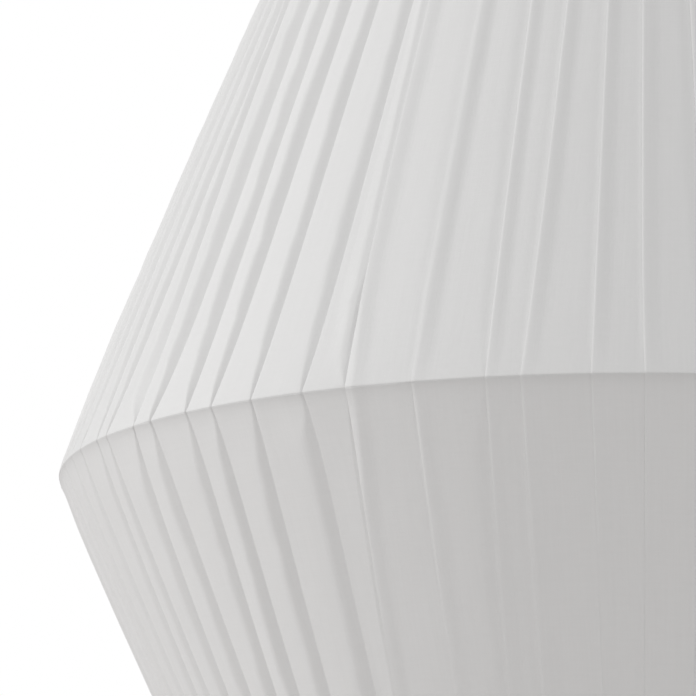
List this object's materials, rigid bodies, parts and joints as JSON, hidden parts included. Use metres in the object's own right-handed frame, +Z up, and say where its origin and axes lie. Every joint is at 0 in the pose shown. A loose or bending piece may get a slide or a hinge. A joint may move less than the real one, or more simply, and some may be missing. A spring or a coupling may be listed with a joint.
{
  "type": "lamp shade",
  "caption": "Two-cone ribbon-wound fabric lamp shade on a welded wire frame, with a flat ring fitter on arms inside the top.",
  "frame": {"origin": "middle of the bottom rim, on the plane that the rim stands on", "axes": "+Z up along the shade's axis, +Y over the first fitter arm"},
  "size_m": [0.45, 0.45, 0.35],
  "materials": {
    "ribbon": "matt white woven ribbon",
    "painted_wire": "white satin powder coat",
    "fitter_steel": "bright zinc plate"
  },
  "bodies": {
    "root": {"top_ring": "painted_wire", "equator_ring": "painted_wire", "bottom_ring": "painted_wire", "rib_1": "painted_wire", "rib_2": "painted_wire", "rib_3": "painted_wire", "rib_4": "painted_wire", "rib_5": "painted_wire", "rib_6": "painted_wire", "rib_7": "painted_wire", "rib_8": "painted_wire", "fitter_arm_1": "painted_wire", "fitter_arm_2": "painted_wire", "fitter_arm_3": "painted_wire", "fitter_ring": "fitter_steel", "ribbon_cover": "ribbon", "ribbon_lining": "ribbon", "ribbon_top_turn": "ribbon", "ribbon_bottom_turn": "ribbon"}
  },
  "joints": []
}
